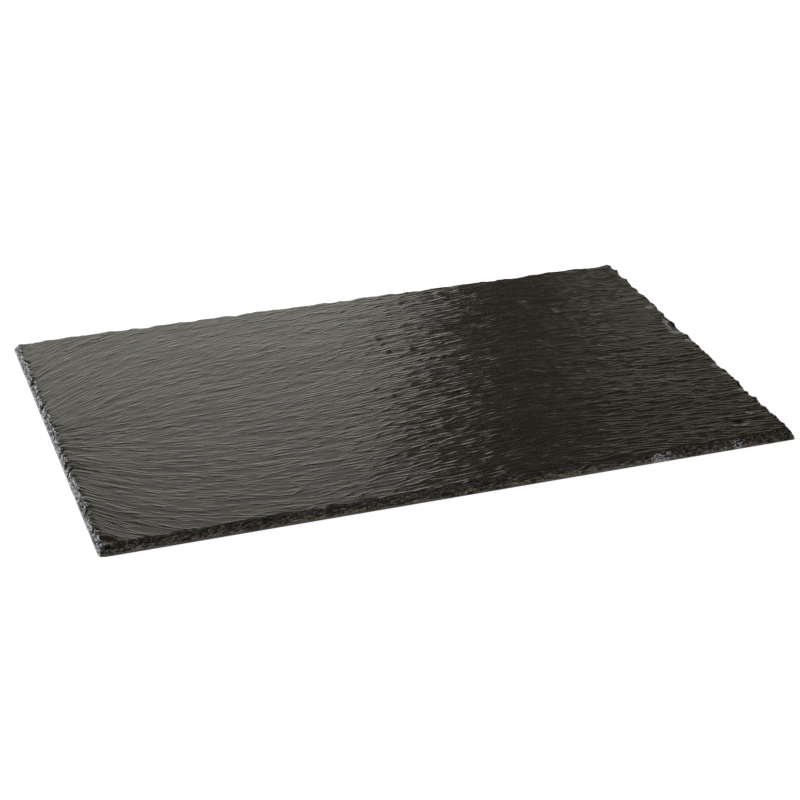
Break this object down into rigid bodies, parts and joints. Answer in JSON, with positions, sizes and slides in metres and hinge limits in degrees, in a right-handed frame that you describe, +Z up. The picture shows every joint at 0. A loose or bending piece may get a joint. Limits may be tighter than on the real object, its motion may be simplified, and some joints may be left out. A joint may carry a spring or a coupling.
{
  "type": "slate serving board",
  "caption": "Flat rectangular slate serving board with a riven top, hand-dressed chipped edges and low non-slip rubber feet.",
  "frame": {"origin": "on the table under the middle of the board, at the plane of the feet's bottoms", "axes": "+X along the board's long side to the right, +Y across it to the back, +Z up"},
  "size_m": [0.53, 0.325, 0.0093],
  "materials": {
    "slate": "riven natural slate, satin sheen on the cleft face, rough where it is chipped",
    "foot_rubber": "matt moulded rubber",
    "adhesive": "thin cloudy pressure-sensitive adhesive film"
  },
  "bodies": {
    "root": {"slate_slab": "slate", "foot_front_left": "foot_rubber", "foot_front_right": "foot_rubber", "foot_back_left": "foot_rubber", "foot_back_right": "foot_rubber", "adhesive_front_left": "adhesive", "adhesive_front_right": "adhesive", "adhesive_back_left": "adhesive", "adhesive_back_right": "adhesive"}
  },
  "joints": []
}
